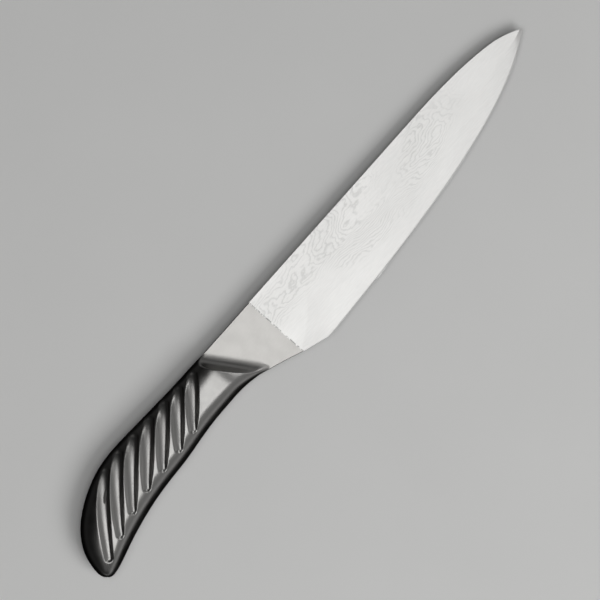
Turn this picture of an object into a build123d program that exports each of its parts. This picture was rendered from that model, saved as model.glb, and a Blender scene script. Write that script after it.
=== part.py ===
from build123d import *
import os

# A chef knife with a laminated blade, welded to a solid steel neck, and a hollow handle of two cast
# halves with seven slanting flutes on each side and a counterweight inside.
#
# Every piece is drawn in the knife's own plane, in millimetres: X runs from the handle to the tip,
# Y from the cutting edge to the spine, and Z out of the right face, with Z = 0 halving the knife.
# The finished pieces are then laid on their left side, as the knife rests on a table: the flat left
# flank of the handle, which thickens evenly towards the butt, lies on Z = 0 of the finished frame,
# the blade stays clear of the table, and the origin is the bottom centre of the bounding box.

# ---- blade ---------------------------------------------------------------------------------------
WELD_X = -0.8               # the middle of the butt weld between blade and neck
WELD_WIDTH = 0.6
SPINE_HALF = 1.15           # half the thickness at the spine, at X = 0
DISTAL_TAPER = 0.0024       # half-thickness lost per mm towards the tip
DROP_TAPER = 0.0080         # half-thickness lost per mm from the spine towards the edge
CORE_HALF = 0.35            # half the thickness of the hard core
STOCK_HALF = 2.0            # half the bar that the blade is ground from
TIP = (192.6, -11.2)
SPINE_DROP = [(125.0, 0.0), (152.0, -0.9), (170.0, -2.95), (183.5, -6.3)]
CUTTING_EDGE = [(183.0, -16.5), (165.0, -23.6), (135.0, -30.8), (100.0, -35.7), (60.0, -39.1)]
HEEL_FRONT = (16.6, -41.3)  # the heel's rounded corner starts here and ends at HEEL_BACK
HEEL_BACK = (11.9, -40.5)
HEEL_LINE = [(-1.0, -36.4), (-14.5, -31.2)]
PLATE_ROOT = [(-30.0, -22.0), (-43.0, -18.0)]   # the plate's lower corner points inside the neck

BEVEL_SHARE = 0.42          # share of the blade's height that is ground to the edge
EDGE_HALF = 0.16            # half the thickness just behind the cutting edge
MICRO_HEIGHT = 0.6          # height of the last, steeper bevel
KEEN_HALF = 0.01            # half the thickness of the very edge
BEVEL_FADE_X = -16.0        # where the grind has run out into the neck
# Stations of the grind: X, the edge's Y and the spine's Y there.
GRIND = [
    (16.6, -41.3, 0.0),
    (60.0, -39.1, 0.0),
    (100.0, -35.7, 0.0),
    (135.0, -30.8, -0.1),
    (165.0, -23.6, -2.3),
    (183.0, -16.5, -6.2),
    (194.0, -10.4, -10.4),
]

# ---- neck and handle -----------------------------------------------------------------------------
JOINT_X = -44.0             # the flat joint between the solid neck and the hollow handle
BEAD_WIDTH = 1.2            # the weld beads, ground flush
BEAD_DEPTH = 1.0
SEAM_HEIGHT = 0.8
SPIGOT_LENGTH = 12.0
SPIGOT_GAP = 0.25           # slack of the neck's spigot inside the handle
WALL = 3.0                  # the cast wall under a rib; a flute leaves half of it
COVE_WIDTH = 8.2            # the hollow that is ground between the blade's face and the neck is a
COVE_HEIGHT = 10.0          # quarter of an ellipse with these half-axes
COVE_TOP = (-33.0, -1.5)    # the cove's foot starts here, near the spine,
COVE_END = (-14.0, -31.0)   # and meets the heel line here

# The body's stations, from the heel line to the butt: the point on the spine side, the point on the
# belly side, half the thickness, and the widths of the spine-side and belly-side rounding.
STATIONS = [
    ((-13.0, -24.0), (-13.0, -31.4), 0.85, 2.0, 1.0),
    ((-18.5, -12.0), (-18.5, -29.9), 1.9, 3.0, 1.6),
    ((-24.0, -5.0), (-24.0, -28.0), 3.9, 5.0, 2.8),
    ((-30.0, -1.0), (-30.0, -26.8), 6.1, 7.0, 4.0),
    ((-37.0, 0.2), (-37.0, -26.1), 8.0, 8.5, 4.8),
    ((-44.0, 0.4), (-44.0, -26.1), 8.2, 9.0, 5.0),
    ((-57.0, 0.5), (-56.0, -26.4), 8.37, 9.0, 5.0),
    ((-70.0, 1.0), (-68.0, -27.5), 8.54, 9.5, 5.5),
    ((-84.0, 1.6), (-80.0, -28.9), 8.717, 10.0, 6.0),
    ((-98.0, 2.1), (-92.0, -29.6), 8.894, 10.5, 6.5),
    ((-111.0, 1.3), (-104.0, -30.7), 9.065, 11.0, 6.5),
    ((-123.0, -1.9), (-115.0, -32.5), 9.221, 11.0, 6.5),
    ((-134.0, -7.1), (-125.5, -34.8), 9.15, 10.5, 6.5),
    ((-143.0, -13.9), (-134.5, -37.3), 8.4, 9.5, 6.0),
    ((-148.8, -21.8), (-140.5, -39.0), 7.1, 8.0, 5.5),
    ((-151.4, -29.2), (-144.5, -39.8), 5.7, 6.0, 4.5),
    ((-152.0, -34.0), (-147.5, -40.0), 4.3, 3.5, 2.9),
    ((-151.5, -36.7), (-149.3, -39.4), 2.4, 1.5, 1.4),
]
JOINT_STATION = 5           # the station at JOINT_X, where the cavity opens
CAVITY_END_STATION = 15
WEIGHT_STATIONS = (10, 14)  # the counterweight lies between these, snug in the cavity
WEIGHT_GAP = 0.15

# ---- flutes --------------------------------------------------------------------------------------
FLUTE_RADIUS = 3.2
FLUTE_DEPTH = 1.5
FLUTE_START_DEPTH = 0.9     # a flute is shallower where it starts, on the spine-side rounding
FLUTE_STEPS = 3
# Each flute's middle line: near the spine, a third of the way, and its round end near the belly.
FLUTES = [
    ((-46.8, -3.2), (-53.5, -9.2), (-66.6, -21.2)),
    ((-56.8, -2.7), (-63.0, -8.0), (-78.6, -22.4)),
    ((-67.0, -2.3), (-73.5, -7.6), (-91.2, -22.7)),
    ((-78.0, -2.0), (-85.0, -7.6), (-103.8, -23.4)),
    ((-89.5, -1.8), (-97.5, -8.0), (-117.0, -25.6)),
    ((-100.6, -1.6), (-108.5, -7.8), (-130.0, -29.0)),
    ((-111.5, -2.6), (-119.5, -8.8), (-142.6, -32.6)),
]

# ---- rest on a table -----------------------------------------------------------------------------
REST_SLOPE = 0.78           # degrees; how much the handle's flanks lean to its middle plane


def face_half(x, y):
    """Half the blade's thickness on its flat faces."""
    return SPINE_HALF - DISTAL_TAPER * x + DROP_TAPER * y


RIGHT_FACE = Plane((0, 0, SPINE_HALF), z_dir=(DISTAL_TAPER, -DROP_TAPER, 1))
LEFT_FACE = Plane((0, 0, -SPINE_HALF), z_dir=(DISTAL_TAPER, -DROP_TAPER, -1))
BLADE_START = Plane.YZ.offset(WELD_X + WELD_WIDTH / 2)
NECK_END = Plane.YZ.offset(WELD_X - WELD_WIDTH / 2)
JOINT = Plane.YZ.offset(JOINT_X)
BEAD_FRONT = Plane.YZ.offset(JOINT_X + BEAD_WIDTH / 2)
BEAD_BACK = Plane.YZ.offset(JOINT_X - BEAD_WIDTH / 2)


# ---- the ground blank: blade and the flat of the neck in one piece, before it is divided -----------
def grind_outline(x, edge, spine, edge_half):
    """The section that the grind removes on the right side, as points in the YZ plane."""
    width = max(BEVEL_SHARE * (spine - edge), 1.5)
    shoulder = edge + width
    rise = (face_half(x, shoulder) - edge_half) / (width - MICRO_HEIGHT)
    past = 6.0
    top = face_half(x, shoulder) + rise * past
    foot = edge_half - EDGE_HALF + KEEN_HALF
    return [
        (edge - 6.0, foot),
        (edge, foot),
        (edge + MICRO_HEIGHT, edge_half),
        (shoulder + past, top),
        (shoulder + past, top + 3.0),
        (edge - 6.0, top + 3.0),
    ]


with BuildPart() as grind:
    fade_out = (BEVEL_FADE_X, HEEL_FRONT[1], 0.0, SPINE_HALF + 0.3)
    for x, edge, spine, edge_half in [fade_out] + [(*station, EDGE_HALF) for station in GRIND]:
        with BuildSketch(Plane.YZ.offset(x)):
            with BuildLine():
                Polyline(*grind_outline(x, edge, spine, edge_half), close=True)
            make_face()
    loft()

with BuildPart() as blank:
    with BuildSketch():
        with BuildLine():
            Line((PLATE_ROOT[-1][0], 0), SPINE_DROP[0])
            Spline(*SPINE_DROP, TIP, tangents=((1, 0), (0.8, -0.6)))
            Spline(TIP, *CUTTING_EDGE, HEEL_FRONT, tangents=((-0.87, -0.49), (-1, -0.02)))
            corner = TangentArc(HEEL_FRONT, HEEL_BACK, tangent=(-1, -0.02))
            Spline(HEEL_BACK, *HEEL_LINE, tangents=(corner % 1, (-1, 0.42)))
            Polyline(HEEL_LINE[-1], *PLATE_ROOT, (PLATE_ROOT[-1][0], 0))
        make_face()
    extrude(amount=STOCK_HALF, both=True)
    split(bisect_by=RIGHT_FACE, keep=Keep.BOTTOM)
    split(bisect_by=LEFT_FACE, keep=Keep.BOTTOM)
    add(grind.part, mode=Mode.SUBTRACT)
    add(mirror(grind.part, about=Plane.XY), mode=Mode.SUBTRACT)

# ---- blade: the hard core, a cladding on each side, and the weld to the neck -----------------------
with BuildPart() as blade_core:
    add(blank.part)
    split(bisect_by=BLADE_START, keep=Keep.TOP)
    split(bisect_by=Plane.XY.offset(CORE_HALF), keep=Keep.BOTTOM)
    split(bisect_by=Plane.XY.offset(-CORE_HALF), keep=Keep.TOP)

with BuildPart() as cladding_right:
    add(blank.part)
    split(bisect_by=BLADE_START, keep=Keep.TOP)
    split(bisect_by=Plane.XY.offset(CORE_HALF), keep=Keep.TOP)

with BuildPart() as cladding_left:
    mirror(cladding_right.part, about=Plane.XY)

with BuildPart() as blade_weld:
    add(blank.part)
    split(bisect_by=BLADE_START, keep=Keep.BOTTOM)
    split(bisect_by=NECK_END, keep=Keep.TOP)


# ---- the body: the outer form of neck and handle together ------------------------------------------
def station_face(station, inset):
    """A cross-section of the body, shrunk by inset all round."""
    spine, belly, half, spine_round, belly_round = station
    across = Vector(*belly) - Vector(*spine)
    length = across.length - 2 * inset
    height = half - inset
    left = max(spine_round - inset, 1.0)
    right = length - max(belly_round - inset, 0.8)
    origin = Vector(*spine) + across.normalized() * inset
    plane = Plane(origin, x_dir=across, z_dir=across.cross(Vector(0, 0, 1)))
    with BuildSketch(plane) as section:
        with BuildLine():
            EllipticalCenterArc((left, 0), left, height, 90, arc_size=180)
            Line((left, -height), (right, -height))
            EllipticalCenterArc((right, 0), length - right, height, -90, arc_size=180)
            Line((right, height), (left, height))
        make_face()
    return section.sketch.face()


def body_form(inset, first=0, last=len(STATIONS)):
    """The body between two of its stations, shrunk by inset."""
    sections = [station_face(station, inset) for station in STATIONS[first:last + 1]]
    return loft(sections, clean=False, mode=Mode.PRIVATE)


body = body_form(0)
underbody = body_form(BEAD_DEPTH, JOINT_STATION - 1, CAVITY_END_STATION + 1)
cavity = body_form(WALL, JOINT_STATION, CAVITY_END_STATION)

# ---- the weld round the neck, and the seam between the handle's halves -----------------------------
with BuildPart() as neck_weld:
    add(body)
    split(bisect_by=BEAD_FRONT, keep=Keep.BOTTOM)
    split(bisect_by=BEAD_BACK, keep=Keep.TOP)
    add(underbody, mode=Mode.SUBTRACT)

with BuildPart() as handle_seam_weld:
    with Locations((-100, -20, 0)):
        Box(200, 60, SEAM_HEIGHT)
    add(body, mode=Mode.INTERSECT)
    split(bisect_by=BEAD_BACK, keep=Keep.BOTTOM)
    add(underbody, mode=Mode.SUBTRACT)

# ---- the solid neck: the flat of the blank, the swell towards the handle, and the two coves --------
foot = Vector(*COVE_TOP, face_half(*COVE_TOP))
toe = Vector(*COVE_END, face_half(*COVE_END))
COVE_PLANE = Plane(foot, x_dir=(toe - foot).cross(RIGHT_FACE.z_dir), z_dir=foot - toe)

with BuildPart() as cove:
    with BuildSketch(COVE_PLANE):
        with BuildLine():
            Line((-60, 0), (0, 0))
            hollow = EllipticalCenterArc((0, COVE_HEIGHT), COVE_WIDTH, COVE_HEIGHT, -90, arc_size=90)
            Polyline(hollow @ 1, (COVE_WIDTH, 20), (-60, 20), (-60, 0))
        make_face()
    extrude(amount=80, both=True)

with BuildPart() as swell:
    add(body)
    split(bisect_by=JOINT, keep=Keep.TOP)
    add(cove.part, mode=Mode.SUBTRACT)
    add(mirror(cove.part, about=Plane.XY), mode=Mode.SUBTRACT)

spigot_face = station_face(STATIONS[JOINT_STATION], WALL + SPIGOT_GAP)

with BuildPart() as bolster:
    add(blank.part)
    split(bisect_by=NECK_END, keep=Keep.BOTTOM)
    add(swell.part)
    extrude(spigot_face, amount=SPIGOT_LENGTH, dir=(-1, 0, 0))
    add(neck_weld.part, mode=Mode.SUBTRACT)


# ---- the two cast halves of the handle -------------------------------------------------------------
def skin_point(x, y):
    """The body's surface above (x, y) on the right side, and its outward direction."""
    hits = body.find_intersection_points(Axis((x, y, 30), (0, 0, -1)))
    return max(hits, key=lambda hit: hit[0].Z)


def flute_path(flute):
    """The middle of the round cutter, which follows the skin at an even depth."""
    plan = Spline(*flute, mode=Mode.PRIVATE)
    points = []
    for step in range(FLUTE_STEPS + 1):
        place = plan @ (step / FLUTE_STEPS)
        skin, outward = skin_point(place.X, place.Y)
        depth = FLUTE_START_DEPTH if step == 0 else FLUTE_DEPTH
        points.append(skin + outward * (FLUTE_RADIUS - depth))
    return points


with BuildPart() as flutes:
    for flute in FLUTES:
        points = flute_path(flute)
        with BuildLine() as middle:
            Spline(*points)
        with BuildSketch(Plane(middle.line @ 0, z_dir=middle.line % 0)) as cutter:
            Circle(FLUTE_RADIUS)
        sweep(cutter.sketch, path=middle.line)
        with Locations(points[0], points[-1]):
            Sphere(FLUTE_RADIUS)

with BuildPart() as handle_shell_right:
    add(body)
    split(bisect_by=JOINT, keep=Keep.BOTTOM)
    split(bisect_by=Plane.XY, keep=Keep.TOP)
    add(cavity, mode=Mode.SUBTRACT)
    add(flutes.part, mode=Mode.SUBTRACT)
    add(handle_seam_weld.part, mode=Mode.SUBTRACT)
    add(neck_weld.part, mode=Mode.SUBTRACT)

with BuildPart() as handle_shell_left:
    mirror(handle_shell_right.part, about=Plane.XY)

with BuildPart() as counterweight:
    add(body_form(WALL + WEIGHT_GAP, *WEIGHT_STATIONS))

# ---- the knife laid down, and one file for each piece ----------------------------------------------
PIECES = {
    "blade_core": blade_core,
    "cladding_right": cladding_right,
    "cladding_left": cladding_left,
    "blade_weld": blade_weld,
    "bolster": bolster,
    "neck_weld": neck_weld,
    "handle_shell_right": handle_shell_right,
    "handle_shell_left": handle_shell_left,
    "handle_seam_weld": handle_seam_weld,
    "counterweight": counterweight,
}
laid = Location((0, 0, 0), (0, REST_SLOPE, 0))
extent = Compound([piece.part.moved(laid) for piece in PIECES.values()]).bounding_box()
placing = Location((-extent.center().X, -extent.center().Y, -extent.min.Z)) * laid

os.makedirs("parts", exist_ok=True)
for name, piece in PIECES.items():
    with BuildPart() as laid_piece:
        add(piece.part.moved(placing))
    laid_piece.part.label = name
    export_step(laid_piece.part, f"parts/{name}.step")
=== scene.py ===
import math

import bpy
import numpy as np
from mathutils import Matrix, Vector
from mathutils.bvhtree import BVHTree


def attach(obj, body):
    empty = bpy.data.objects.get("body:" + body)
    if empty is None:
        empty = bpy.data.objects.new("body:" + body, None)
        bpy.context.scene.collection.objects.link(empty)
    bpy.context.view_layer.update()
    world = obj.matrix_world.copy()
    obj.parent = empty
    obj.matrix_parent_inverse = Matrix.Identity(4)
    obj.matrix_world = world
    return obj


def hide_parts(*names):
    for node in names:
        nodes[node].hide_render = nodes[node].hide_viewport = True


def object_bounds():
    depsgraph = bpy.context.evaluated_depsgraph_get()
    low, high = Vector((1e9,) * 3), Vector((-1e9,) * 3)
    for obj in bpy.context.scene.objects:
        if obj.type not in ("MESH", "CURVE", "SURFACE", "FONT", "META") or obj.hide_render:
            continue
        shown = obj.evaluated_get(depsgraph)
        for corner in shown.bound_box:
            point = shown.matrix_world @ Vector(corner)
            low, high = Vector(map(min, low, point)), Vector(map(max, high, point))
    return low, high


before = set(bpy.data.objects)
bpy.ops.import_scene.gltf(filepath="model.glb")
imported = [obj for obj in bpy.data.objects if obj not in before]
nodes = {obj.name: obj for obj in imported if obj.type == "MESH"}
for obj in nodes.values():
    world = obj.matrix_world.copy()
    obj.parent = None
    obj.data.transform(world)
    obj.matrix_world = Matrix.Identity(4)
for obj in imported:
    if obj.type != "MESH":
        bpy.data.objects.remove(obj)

# A chef knife lying on its left side, seen from straight above. The blade keeps its CAD pieces. The
# neck and the grip are sculpted here with soft rims, and stand for the CAD's neck, shells and welds.
#
# The shapes are worked out in the knife's own frame, in millimetres: X towards the tip from the
# weld at the heel, Y towards the spine, Z out of the right face, with Z = 0 in the middle plane.

cad_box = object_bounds()

# ---- the knife's own frame, as the CAD lays it down ------------------------------------------------
PITCH = math.radians(0.78)              # the tip hangs lower than the butt
LAID_LOW = (-151.988, -41.303, -7.731)  # low corner of the laid knife, before its move to the row
MM = 0.001

low = Vector(cad_box[0])
KNIFE = (
    Matrix.Translation(low - MM * Vector(LAID_LOW))
    @ Matrix.Rotation(PITCH, 4, "Y")
    @ Matrix.Scale(MM, 4)
)

# ---- blade and neck ---------------------------------------------------------------------------------
SPINE_HALF = 1.15           # half the blade's thickness at the weld, on the spine
DISTAL_TAPER = 0.0024       # half-thickness lost per mm towards the tip
DROP_TAPER = 0.0080         # and per mm from the spine towards the edge
JOINT_X = -44.0             # neck and grip meet here
NECK_FRONT_X = -1.1         # the neck's end at the weld
SPINE_LIFT = 0.4            # how far the neck's spine rises between SPINE_LIFT_X and the joint
SPINE_LIFT_X = -33.0
PLATE_EASE = 0.35           # rounding of the neck plate's long edges
COVE_WIDTH = 8.2            # the cove is a quarter of an ellipse with these half-axes,
COVE_HEIGHT = 10.0
COVE_TOP = (-33.0, -1.5)    # and its foot runs from here, near the spine,
COVE_END = (-14.0, -31.0)   # to here, on the heel line
CREST_SOFTNESS = 1.5        # height over which the cove and the swell run into each other
# The neck's lower outline, X and Y, from the joint to the weld.
NECK_BELLY = [
    (-44.0, -26.1),
    (-37.0, -26.1),
    (-30.0, -26.8),
    (-24.0, -28.0),
    (-18.5, -29.9),
    (-14.5, -31.25),
    (-8.0, -33.65),
    (-1.0, -36.4),
]
# Where the neck's grid is dense: X, and the width of the band along the spine and along the belly.
NECK_BANDS = [
    (-44.0, 13.0, 9.0),
    (-30.0, 9.0, 7.0),
    (-13.0, 4.0, 2.0),
    (-1.0, 4.0, 2.0),
]
# The cutting edge, X and Y, from the heel to the tip.
CUTTING_EDGE = [
    (16.6, -41.3),
    (60.0, -39.1),
    (100.0, -35.7),
    (135.0, -30.8),
    (165.0, -23.6),
    (183.0, -16.5),
    (192.6, -11.2),
]
EDGE_SPAN = 42.0            # no point of the blade is lower than this

# ---- the body's stations: spine point, belly point, half thickness, the two roundings ---------------
STATIONS = [
    (-13.0, -24.0, -13.0, -31.4, 0.85, 2.0, 1.2),
    (-18.5, -12.0, -18.5, -29.9, 1.9, 3.0, 2.6),
    (-24.0, -5.0, -24.0, -28.0, 3.9, 5.5, 5.0),
    (-30.0, -1.0, -30.0, -26.8, 6.1, 8.0, 6.0),
    (-37.0, 0.2, -37.0, -26.1, 8.0, 11.0, 7.0),
    (-44.0, 0.4, -44.0, -26.1, 8.2, 12.5, 7.6),
    (-57.0, 0.5, -56.0, -26.4, 8.37, 13.5, 8.0),
    (-70.0, 1.0, -68.0, -27.5, 8.54, 14.5, 8.0),
    (-84.0, 1.6, -80.0, -28.9, 8.717, 15.5, 8.0),
    (-98.0, 2.1, -92.0, -29.6, 8.894, 16.5, 8.5),
    (-111.0, 1.3, -104.0, -30.7, 9.065, 17.0, 8.5),
    (-123.0, -1.9, -115.0, -32.5, 9.221, 17.0, 8.5),
    (-134.0, -7.1, -125.5, -34.8, 9.15, 16.0, 8.5),
    (-143.0, -13.9, -134.5, -37.3, 8.4, 14.0, 6.6),
    (-148.8, -21.8, -140.5, -39.0, 7.1, 11.0, 6.0),
    (-151.4, -29.2, -144.5, -39.8, 5.7, 7.0, 4.8),
    (-152.0, -34.0, -147.5, -40.0, 4.35, 4.2, 3.2),
    (-151.5, -36.7, -149.3, -39.4, 2.4, 1.8, 1.6),
]
JOINT_STATION = 5

# ---- flutes: the middle line of each in plan --------------------------------------------------------
FLUTES = [
    ((-46.8, -3.2), (-53.5, -9.2), (-66.6, -21.2)),
    ((-56.8, -2.7), (-63.0, -8.0), (-78.6, -22.4)),
    ((-67.0, -2.3), (-73.5, -7.6), (-91.2, -22.7)),
    ((-78.0, -2.0), (-85.0, -7.6), (-103.8, -23.4)),
    ((-89.5, -1.8), (-97.5, -8.0), (-117.0, -25.6)),
    ((-100.6, -1.6), (-108.5, -7.8), (-130.0, -29.0)),
    ((-111.5, -2.6), (-119.5, -8.8), (-142.6, -32.6)),
]
# Along a flute, as a share of its length: the cutter's radius and how deep it goes.
FLUTE_COURSE = [
    (0.0, 3.0, 1.1),
    (0.3, 3.2, 2.1),
    (0.6, 3.0, 2.2),
    (1.0, 2.2, 1.15),
]
FLUTE_LEAN = 0.75           # the deepest line lies this much nearer to the neck than the middle,
FLUTE_SKEW = 0.30           # and the wall on that side is steeper
FLUTE_SKEW_EASE = 0.4       # distance over which that difference sets in
FLUTE_SAMPLES = 49          # points along a flute's middle line
CUTTER_REACH = 0.97         # beyond this share of the cutter's radius its side
CUTTER_FALL = 2.0           # falls away straight, this steeply
RIM_SOFTNESS = 0.34
CROWN = 0.05                # how much the skin between the roundings bulges, as a share of its height
CROWN_MIDDLE = 0.60         # where it is highest, from the spine's edge
ROUNDINGS_LIMIT = 0.97      # the two roundings take up no more of a section than this share

# ---- how fine the sculpted grids are ----------------------------------------------------------------
SPINE_SIDE_STEPS = 66
LAND_STEPS = 14
BELLY_SIDE_STEPS = 34
EDGE_CROWDING = 1.6         # above 1, points crowd towards a section's edges
SWELL_ROWS = 160
NECK_ROWS = 150
GRIP_ROWS = 290
SKY = 50.0                  # rays for heights start this high
NOTHING = -5.0              # a height below every surface
UNCUT = 40.0                # a height above every surface


# ---- shapes -----------------------------------------------------------------------------------------
def spline(knots, values, at):
    """A natural cubic spline through values (one row each) at knots, read at the places `at`."""
    knots, values, at = np.asarray(knots), np.asarray(values), np.asarray(at)
    step = np.diff(knots)
    system = np.eye(len(knots))
    pull = np.zeros_like(values)
    for i in range(1, len(knots) - 1):
        system[i, i - 1:i + 2] = step[i - 1], 2 * (step[i - 1] + step[i]), step[i]
        ahead, behind = values[i + 1] - values[i], values[i] - values[i - 1]
        pull[i] = 6 * (ahead / step[i] - behind / step[i - 1])
    bend = np.linalg.solve(system, pull)
    i = np.clip(np.searchsorted(knots, at) - 1, 0, len(knots) - 2)
    gap = step[i][:, None]
    past = (at - knots[i])[:, None]
    left = gap - past
    curve = (bend[i] * left ** 3 + bend[i + 1] * past ** 3) / (6 * gap)
    curve += (values[i] / gap - bend[i] * gap / 6) * left
    return curve + (values[i + 1] / gap - bend[i + 1] * gap / 6) * past


def smoothstep(value):
    """An even rise from 0 to 1, level at both ends."""
    value = np.clip(value, 0, 1)
    return value * value * (3 - 2 * value)


def soft_min(a, b, width):
    """The lower of two heights, rounded where they differ by less than width."""
    near = np.clip(width - np.abs(a - b), 0, None) / width
    return np.minimum(a, b) - near * near * width / 4


def face_half(x, y):
    """Half the thickness of the blade's and the plate's flat faces."""
    return SPINE_HALF - DISTAL_TAPER * x + DROP_TAPER * y


def across_steps(length, spine_round, belly_round):
    """Places across a section, closer together towards its two edges, and their height as a share."""
    rise = np.linspace(0, 1, SPINE_SIDE_STEPS + 1) ** EDGE_CROWDING
    fall = np.linspace(1, 0, BELLY_SIDE_STEPS + 1) ** EDGE_CROWDING
    land = np.linspace(spine_round, length - belly_round, LAND_STEPS + 1)[1:-1]
    places = np.concatenate([spine_round * rise, land, length - belly_round * fall])
    inward = np.concatenate([rise, np.ones(len(land)), fall])
    return places, np.sqrt(1 - (1 - inward) ** 2)


def body_rows(first, last, rows):
    """Right half of the body between two stations: an array of rows, each from spine to belly."""
    table = np.array(STATIONS)
    apart = np.diff(table[:, :5], axis=0) * (1, 1, 1, 1, 2)
    knots = np.concatenate([[0], np.cumsum(np.linalg.norm(apart, axis=1))])
    out = []
    for row in spline(knots, table, np.linspace(knots[first], knots[last], rows)):
        spine, belly, height, spine_round, belly_round = row[:2], row[2:4], *row[4:]
        across = belly - spine
        length = np.linalg.norm(across)
        shrink = min(1, ROUNDINGS_LIMIT * length / (spine_round + belly_round))
        places, shares = across_steps(length, shrink * spine_round, shrink * belly_round)
        plan = spine + places[:, None] * across / length
        off_middle = (places / length - CROWN_MIDDLE) / (1 - CROWN_MIDDLE)
        shares = shares * (1 - CROWN * off_middle ** 2)
        out.append(np.column_stack([plan, height * shares]))
    return np.array(out)


def tree_of(rows):
    """A search tree over a grid of rows."""
    count, width = rows.shape[:2]
    faces = []
    for i in range(count - 1):
        for j in range(width - 1):
            a = i * width + j
            faces.append((a, a + 1, a + width + 1, a + width))
    return BVHTree.FromPolygons(rows.reshape(-1, 3).tolist(), faces)


def height_on(tree, x, y):
    """Height of the surface above (x, y), or None outside it."""
    hit = tree.ray_cast(Vector((x, y, SKY)), Vector((0, 0, -1)))[0]
    return None if hit is None else hit.z


def neck_half():
    """Right half of the neck: the plate's flat, the cove, and the swell that leads to the grip."""
    swell = tree_of(body_rows(0, JOINT_STATION, SWELL_ROWS))
    along = np.linspace(JOINT_X, NECK_FRONT_X, NECK_ROWS)
    belly_points = np.array(NECK_BELLY)
    belly = spline(belly_points[:, 0], belly_points[:, 1:], along)[:, 0]
    spine = SPINE_LIFT * smoothstep((SPINE_LIFT_X - along) / (SPINE_LIFT_X - JOINT_X))
    bands = np.array(NECK_BANDS)
    spine_band = np.interp(along, bands[:, 0], bands[:, 1])
    belly_band = np.interp(along, bands[:, 0], bands[:, 2])
    foot = np.subtract(COVE_END, COVE_TOP)
    foot = foot / np.linalg.norm(foot)
    rows = []
    for i, x in enumerate(along):
        places, _ = across_steps(spine[i] - belly[i], spine_band[i], belly_band[i])
        y = spine[i] - places
        dome = np.array([height_on(swell, x, value) or NOTHING for value in y])
        face = face_half(x, y)
        past_foot = (x - COVE_TOP[0]) * foot[1] - (y - COVE_TOP[1]) * foot[0]
        inside = np.clip(past_foot / COVE_WIDTH, 0, 1)
        cove = face + COVE_HEIGHT * (1 - np.sqrt(1 - inside ** 2))
        cove = np.where(past_foot <= 0, NOTHING, np.where(inside >= 1, UNCUT, cove))
        edge = np.clip(np.minimum(places, places[-1] - places), 0, PLATE_EASE)
        plate = face - PLATE_EASE + np.sqrt(PLATE_EASE ** 2 - (PLATE_EASE - edge) ** 2)
        height = np.maximum(plate, soft_min(dome, cove, CREST_SOFTNESS))
        height[0] = height[-1] = 0
        rows.append(np.column_stack([np.full(len(y), x), y, height]))
    return np.array(rows)


def grip_half():
    """Right half of the grip, with the flutes pressed into its skin."""
    rows = body_rows(JOINT_STATION, len(STATIONS) - 1, GRIP_ROWS)
    skin = tree_of(rows)
    along = np.gradient(rows, axis=0)
    below = (1, 1, -1)
    mirrored = np.concatenate([rows[:, 1:2] * below, rows, rows[:, -2:-1] * below], axis=1)
    across = np.gradient(mirrored, axis=1)[:, 1:-1]
    outward = np.cross(along, across)
    outward /= np.linalg.norm(outward, axis=2, keepdims=True)
    middle_column = rows.shape[1] // 2
    outward *= np.sign(outward[:, middle_column:middle_column + 1, 2:3])
    cut = np.full(rows.shape[:2], -np.inf)
    for flute in FLUTES:
        line = np.array(flute)
        knots = np.concatenate([[0], np.cumsum(np.linalg.norm(np.diff(line, axis=0), axis=1))])
        share = np.linspace(0, 1, FLUTE_SAMPLES)
        plan = spline(knots, line, share * knots[-1])
        middle = np.array([(x, y, height_on(skin, x, y)) for x, y in plan])
        course = np.array(FLUTE_COURSE)
        radius, depth = spline(course[:, 0], course[:, 1:], share).T
        for i in range(len(share) - 1):
            run = middle[i + 1] - middle[i]
            at = np.clip((rows - middle[i]) @ run / (run @ run), 0, 1)
            wide = radius[i] + at * (radius[i + 1] - radius[i])
            deep = depth[i] + at * (depth[i + 1] - depth[i])
            off = rows - middle[i] - at[..., None] * run
            neckward = np.array([-run[1], run[0], 0]) / np.linalg.norm(run[:2])
            off = off - FLUTE_LEAN * neckward
            gap = np.linalg.norm(off, axis=2)
            gap = gap * (1 + FLUTE_SKEW * (off @ neckward) / (gap + FLUTE_SKEW_EASE))
            inside = np.minimum(gap, CUTTER_REACH * wide)
            bite = np.sqrt(wide ** 2 - inside ** 2) - (wide - deep) - CUTTER_FALL * (gap - inside)
            cut = np.maximum(cut, bite)
    soft = RIM_SOFTNESS * np.logaddexp(0, cut / RIM_SOFTNESS)
    return rows - soft[..., None] * outward


def closed_mesh(name, half):
    """A closed mesh from a right half: rows of points from the spine's edge to the belly's edge."""
    count, width = half.shape[:2]
    back = half[:, -2:0:-1] * (1, 1, -1)
    points = np.concatenate([half, back], axis=1)
    loop = points.shape[1]
    faces = []
    for i in range(count - 1):
        for j in range(loop):
            a, b = i * loop + j, i * loop + (j + 1) % loop
            faces.append((a, b, b + loop, a + loop))
    faces.append(tuple(range(loop - 1, -1, -1)))
    faces.append(tuple(range((count - 1) * loop, count * loop)))
    mesh = bpy.data.meshes.new(name)
    laid = [KNIFE @ Vector(point) for point in points.reshape(-1, 3).tolist()]
    mesh.from_pydata(laid, [], faces)
    mesh.validate()
    mesh.shade_smooth()
    rings = set(range(loop)) | set(range((count - 1) * loop, count * loop))
    for edge in mesh.edges:
        a, b = edge.vertices
        if a in rings and b in rings and abs(a - b) in (1, loop - 1):
            edge.use_edge_sharp = True
    piece = bpy.data.objects.new(name, mesh)
    bpy.context.collection.objects.link(piece)
    return piece


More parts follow.
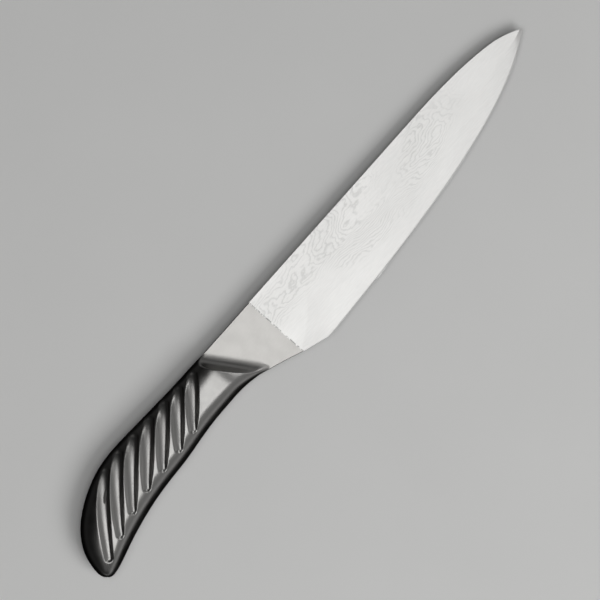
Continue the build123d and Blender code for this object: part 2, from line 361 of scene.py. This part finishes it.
# ---- materials --------------------------------------------------------------------------------------
BLADE_BRIGHT = (0.84, 0.835, 0.82)
BLADE_DULL = (0.60, 0.60, 0.585)
WELD_BRIGHT = (0.74, 0.735, 0.72)
WELD_DARK = (0.34, 0.34, 0.33)
NECK_SATIN = (0.56, 0.55, 0.53)
GRIP_POLISHED = (0.32, 0.316, 0.308)
IRON_PALE = (0.22, 0.21, 0.20)
IRON_DARK = (0.10, 0.10, 0.10)
TABLE_PALE = (0.80, 0.80, 0.79, 1)
TABLE_DULL = (0.76, 0.76, 0.75, 1)

LAYER_HEIGHT = 30.0         # the layers run parallel up to this far above the edge at the heel,
LAYER_FALL = -0.10          # less by this much per mm towards the tip, and in swirls above that
LAYER_SWIRLS = 22.0         # how many layers the swirls cut through
LAYER_PITCH = 0.95          # parallel layers per mm
LAYER_STRENGTH = 0.42
LAYERS_END = (120.0, 158.0) # the layers fade out between these places along the blade


class Nodes:
    """A material's node tree, with short ways to add to it. All places are in the knife's frame, mm."""

    def __init__(self, name):
        self.material = bpy.data.materials.new(name)
        self.material.use_nodes = True
        self.tree = self.material.node_tree
        self.shader = self.tree.nodes["Principled BSDF"]
        place = self.tree.nodes.new("ShaderNodeTexCoord")
        turn = self.tree.nodes.new("ShaderNodeMapping")
        inverse = KNIFE.inverted()
        turn.inputs["Location"].default_value = inverse.translation
        turn.inputs["Rotation"].default_value = (0, -PITCH, 0)
        turn.inputs["Scale"].default_value = (1 / MM, 1 / MM, 1 / MM)
        self.tree.links.new(place.outputs["Object"], turn.inputs["Vector"])
        self.place = turn.outputs["Vector"]

    def put(self, value, socket):
        """Links a node's output to a socket, or sets a plain value on it."""
        if isinstance(value, bpy.types.NodeSocket):
            self.tree.links.new(value, socket)
        elif value is not None:
            socket.default_value = value

    def math(self, operation, a, b=None, c=None):
        node = self.tree.nodes.new("ShaderNodeMath")
        node.operation = operation
        for value, socket in zip((a, b, c), node.inputs):
            self.put(value, socket)
        return node.outputs[0]

    def ramp(self, value, low, high, at_low=0.0, at_high=1.0):
        """An even step from at_low to at_high as value goes from low to high."""
        node = self.tree.nodes.new("ShaderNodeMapRange")
        node.interpolation_type = "SMOOTHSTEP"
        for number, socket in zip((value, low, high, at_low, at_high), node.inputs):
            self.put(number, socket)
        return node.outputs[0]

    def axes(self):
        node = self.tree.nodes.new("ShaderNodeSeparateXYZ")
        self.put(self.place, node.inputs[0])
        return node.outputs

    def stretched(self, scale):
        """The place times a scale along X, Y and Z."""
        node = self.tree.nodes.new("ShaderNodeVectorMath")
        node.operation = "MULTIPLY"
        self.put(self.place, node.inputs[0])
        node.inputs[1].default_value = scale
        return node.outputs[0]

    def noise(self, vector, scale, detail=3.0, roughness=0.5):
        node = self.tree.nodes.new("ShaderNodeTexNoise")
        self.put(vector, node.inputs["Vector"])
        node.inputs["Scale"].default_value = scale
        node.inputs["Detail"].default_value = detail
        node.inputs["Roughness"].default_value = roughness
        return node.outputs["Fac"]

    def blend(self, share, first, second):
        node = self.tree.nodes.new("ShaderNodeMix")
        node.data_type = "RGBA"
        self.put(share, node.inputs["Factor"])
        self.put((*first, 1.0), node.inputs["A"])
        self.put((*second, 1.0), node.inputs["B"])
        return node.outputs["Result"]

    def bump(self, height, distance, strength=1.0):
        node = self.tree.nodes.new("ShaderNodeBump")
        node.inputs["Distance"].default_value = distance * MM
        node.inputs["Strength"].default_value = strength
        self.put(height, node.inputs["Height"])
        self.tree.links.new(node.outputs[0], self.shader.inputs["Normal"])

    def finish(self, color, roughness, metallic=1.0):
        self.put(color, self.shader.inputs["Base Color"])
        self.put(roughness, self.shader.inputs["Roughness"])
        self.shader.inputs["Metallic"].default_value = metallic
        return self.material


def edge_height(n, x):
    """Y of the cutting edge at X, as a curve node."""
    node = n.tree.nodes.new("ShaderNodeFloatCurve")
    curve = node.mapping.curves[0]
    tip_x, tip_y = CUTTING_EDGE[-1]
    curve.points[0].location = (0.0, 0.0)
    curve.points[1].location = (1.0, (tip_y + EDGE_SPAN) / EDGE_SPAN)
    for edge_x, edge_y in CUTTING_EDGE[:-1]:
        curve.points.new(edge_x / tip_x, (edge_y + EDGE_SPAN) / EDGE_SPAN)
    node.mapping.update()
    n.put(n.math("DIVIDE", x, tip_x), node.inputs["Value"])
    return n.math("MULTIPLY_ADD", node.outputs[0], EDGE_SPAN, -EDGE_SPAN)


def blade_steel(name, layered):
    """Ground steel with a fine lengthwise grain and, on the claddings, faint wavy layers."""
    n = Nodes(name)
    x, y, _ = n.axes()
    above_edge = n.math("SUBTRACT", y, edge_height(n, x))
    grain = n.noise(n.stretched((0.2, 3.0, 3.0)), 1.0, 2.0)
    cloud = n.noise(n.stretched((0.03, 0.05, 0.05)), 1.0, 2.0)
    roughness = n.ramp(cloud, 0.3, 0.7, 0.455, 0.475)
    tone = n.ramp(grain, 0.2, 0.8, 0.0, 0.25)
    if layered:
        warp = n.noise(n.stretched((0.030, 0.055, 0.2)), 1.0, 6.0, 0.46)
        start = n.math("MULTIPLY_ADD", x, LAYER_FALL, LAYER_HEIGHT)
        descent = n.math("MAXIMUM", n.math("SUBTRACT", start, above_edge), 0.0)
        swirls = n.math("MULTIPLY", warp, LAYER_SWIRLS)
        layer = n.math("ADD", swirls, n.math("MULTIPLY", descent, LAYER_PITCH))
        wave = n.math("MULTIPLY", n.math("PINGPONG", layer, 0.5), 2.0)
        line = n.ramp(wave, 0.0, 0.55, 1.0, 0.0)
        heel = n.ramp(x, 20.0, 70.0, 20.0, 5.0)
        off_bevel = n.ramp(n.math("SUBTRACT", above_edge, heel), 0.0, 6.0)
        fade = n.math("MULTIPLY", n.ramp(x, *LAYERS_END, 1.0, 0.0), off_bevel)
        patches = n.noise(n.stretched((0.024, 0.05, 0.1)), 1.0, 1.0)
        patch = n.ramp(patches, 0.40, 0.60, 0.12, 1.0)
        strength = n.math("MULTIPLY", patch, LAYER_STRENGTH)
        line = n.math("MULTIPLY", n.math("MULTIPLY", line, fade), strength)
        tone = n.math("ADD", tone, line)
        roughness = n.math("MULTIPLY_ADD", line, 0.05, roughness)
        relief = n.math("ADD", n.math("MULTIPLY", grain, 0.5), n.math("MULTIPLY", line, -0.5))
        n.bump(relief, 0.006)
    else:
        n.bump(grain, 0.004)
    color = n.blend(tone, BLADE_BRIGHT, BLADE_DULL)
    return n.finish(color, roughness)


def weld_steel(name):
    """A ground weld: a broken, slightly darker line."""
    n = Nodes(name)
    spots = n.noise(n.stretched((0.9, 0.9, 0.9)), 1.0, 2.0)
    share = n.ramp(spots, 0.42, 0.58)
    n.bump(spots, 0.05)
    color = n.blend(share, WELD_DARK, WELD_BRIGHT)
    return n.finish(color, n.ramp(spots, 0.4, 0.6, 0.5, 0.42))


def handle_steel(name):
    """Cast steel: ground satin on the neck's flat, and polished from the cove to the butt."""
    n = Nodes(name)
    x, y, _ = n.axes()
    foot = (Vector(COVE_END) - Vector(COVE_TOP)).normalized()
    from_top_x = n.math("SUBTRACT", x, COVE_TOP[0])
    from_top_y = n.math("SUBTRACT", y, COVE_TOP[1])
    past_foot = n.math("SUBTRACT", n.math("MULTIPLY", from_top_x, foot.y),
                       n.math("MULTIPLY", from_top_y, foot.x))
    polished = n.ramp(past_foot, 0.8, 4.0)
    smudge = n.noise(n.place, 0.11, 4.0, 0.6)
    grain = n.noise(n.stretched((0.5, 2.5, 2.5)), 1.0, 2.0)
    satin = n.ramp(smudge, 0.3, 0.7, 0.43, 0.46)
    polish = n.ramp(smudge, 0.3, 0.7, 0.28, 0.34)
    roughness = n.math("ADD", satin, n.math("MULTIPLY", polished, n.math("SUBTRACT", polish, satin)))
    n.bump(grain, 0.001)
    tone = n.math("MULTIPLY_ADD", polished, 0.9, n.ramp(grain, 0.2, 0.8, 0.0, 0.1))
    color = n.blend(tone, NECK_SATIN, GRIP_POLISHED)
    return n.finish(color, roughness)


def cast_iron(name):
    """Rough dark iron, as it comes from the mould."""
    n = Nodes(name)
    lumps = n.noise(n.place, 0.8, 4.0, 0.6)
    n.bump(lumps, 0.3)
    color = n.blend(lumps, IRON_DARK, IRON_PALE)
    return n.finish(color, n.ramp(lumps, 0.3, 0.7, 0.55, 0.75))


def floor_paint(name):
    """A pale matt table top with faint clouding."""
    material = bpy.data.materials.new(name)
    material.use_nodes = True
    tree = material.node_tree
    shader = tree.nodes["Principled BSDF"]
    place = tree.nodes.new("ShaderNodeTexCoord")
    cloud = tree.nodes.new("ShaderNodeTexNoise")
    cloud.inputs["Scale"].default_value = 14.0
    cloud.inputs["Detail"].default_value = 8.0
    tree.links.new(place.outputs["Object"], cloud.inputs["Vector"])
    tint = tree.nodes.new("ShaderNodeMix")
    tint.data_type = "RGBA"
    tint.inputs["A"].default_value = TABLE_DULL
    tint.inputs["B"].default_value = TABLE_PALE
    tree.links.new(cloud.outputs["Fac"], tint.inputs["Factor"])
    tree.links.new(tint.outputs["Result"], shader.inputs["Base Color"])
    shader.inputs["Roughness"].default_value = 0.95
    shader.inputs["Specular IOR Level"].default_value = 0.1
    return material


def repaint(piece, material):
    """Gives a piece one material in place of its own."""
    piece.data.materials.clear()
    piece.data.materials.append(material)


# ---- the pieces -------------------------------------------------------------------------------------
neck = closed_mesh("neck", neck_half())
grip = closed_mesh("grip", grip_half())

steel = handle_steel("satin_neck_and_polished_grip")
for piece in (neck, grip):
    repaint(piece, steel)
    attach(piece, "root")
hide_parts("bolster", "neck_weld")
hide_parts("handle_shell_right", "handle_shell_left", "handle_seam_weld")

cladding_steel = blade_steel("layered_cladding", layered=True)
repaint(nodes["cladding_right"], cladding_steel)
repaint(nodes["cladding_left"], cladding_steel)
repaint(nodes["blade_core"], blade_steel("keen_core", layered=False))
repaint(nodes["blade_weld"], weld_steel("ground_weld"))
repaint(nodes["counterweight"], cast_iron("cast_weight"))

# ---- table, light and camera ------------------------------------------------------------------------
bpy.ops.mesh.primitive_plane_add(size=6, location=(0, 0, 0))
table = bpy.context.object
table.name = "table"
repaint(table, floor_paint("pale_table"))
table.visible_glossy = False

# Each light: name, direction, distance, width and height, watts. The wall and the cards only show
# in reflections, where they place the bright bands on the steel. The key doesn't show in them.
KEY = ("key", (0, -0.669, 0.743), 1.8, (1.0, 1.0), 14)
OVERHEAD = ("overhead", (-0.13, -0.04, 1), 2.3, (1.5, 1.5), 16)
PALE_WALL = ("pale_wall", (0.30, -0.74, 0.60), 1.8, (2.6, 2.2), 5.6)
CARDS = [
    ("far_card", (0.65, 0.58, 0.50), 1.8, (0.6, 0.6), 0.12),
    ("crest_card", (0.70, 0.05, 0.71), 1.8, (0.45, 0.6), 2.6),
    ("land_card", (0.45, -0.05, 0.89), 1.8, (0.8, 0.8), 0.5),
]


def softbox(name, direction, distance, size, watts):
    """A light of a size (width, height) at a distance from the knife, facing it, out of view."""
    light = bpy.data.lights.new(name, "AREA")
    light.shape = "RECTANGLE"
    light.size, light.size_y = size
    light.energy = watts
    lamp = bpy.data.objects.new(name, light)
    bpy.context.collection.objects.link(lamp)
    away = Vector(direction).normalized()
    lamp.location = away * distance
    lamp.rotation_euler = away.to_track_quat("Z", "Y").to_euler()
    lamp.visible_camera = False
    return lamp


softbox(*KEY).visible_glossy = False
softbox(*PALE_WALL).visible_diffuse = False
softbox(*OVERHEAD)
for card in CARDS:
    softbox(*card).visible_diffuse = False


# The surroundings' glow is the product of these steps: a direction, two places along it, and the
# glow at each of the two.
GLOW = [
    ((0, 0, 1), -0.02, 0.02, 0.0, 1.0),
    ((0, 0, 1), 0.22, 0.50, 0.30, 0.015),
    ((0.67, -0.74, 0), -0.75, -0.20, 0.10, 1.0),
]


def studio_world():
    """Dark surroundings with a dim glow above the horizon, which dies away behind the knife's spine."""
    world = bpy.data.worlds.new("studio")
    world.use_nodes = True
    tree = world.node_tree
    place = tree.nodes.new("ShaderNodeTexCoord").outputs["Generated"]
    background = tree.nodes["Background"]
    background.inputs["Color"].default_value = (1, 1, 1, 1)
    socket = background.inputs["Strength"]
    for direction, low, high, at_low, at_high in GLOW:
        along = tree.nodes.new("ShaderNodeVectorMath")
        along.operation = "DOT_PRODUCT"
        along.inputs[1].default_value = direction
        tree.links.new(place, along.inputs[0])
        step = tree.nodes.new("ShaderNodeMapRange")
        step.interpolation_type = "SMOOTHSTEP"
        tree.links.new(along.outputs["Value"], step.inputs["Value"])
        step.inputs["From Min"].default_value = low
        step.inputs["From Max"].default_value = high
        step.inputs["To Min"].default_value = at_low
        step.inputs["To Max"].default_value = at_high
        product = tree.nodes.new("ShaderNodeMath")
        product.operation = "MULTIPLY"
        product.inputs[1].default_value = 1.0
        tree.links.new(step.outputs[0], product.inputs[0])
        tree.links.new(product.outputs[0], socket)
        socket = product.inputs[1]
    return world


bpy.context.scene.world = studio_world()
bpy.context.scene.view_settings.view_transform = "Standard"

VIEW_CENTRE = (17.18, -18.18, 0.0)      # in the knife's frame, mm
ROLL = math.radians(-48.33)
VIEW_WIDTH = 0.300                      # metres across the picture, at the knife
camera_data = bpy.data.cameras.new("camera")
camera_data.lens = 300
camera_data.sensor_width = 36
camera = bpy.data.objects.new("camera", camera_data)
bpy.context.collection.objects.link(camera)
camera_height = VIEW_WIDTH * camera_data.lens / camera_data.sensor_width
camera.location = KNIFE @ Vector(VIEW_CENTRE) + Vector((0, 0, camera_height))
camera.rotation_euler = (0, 0, ROLL)
bpy.context.scene.camera = camera
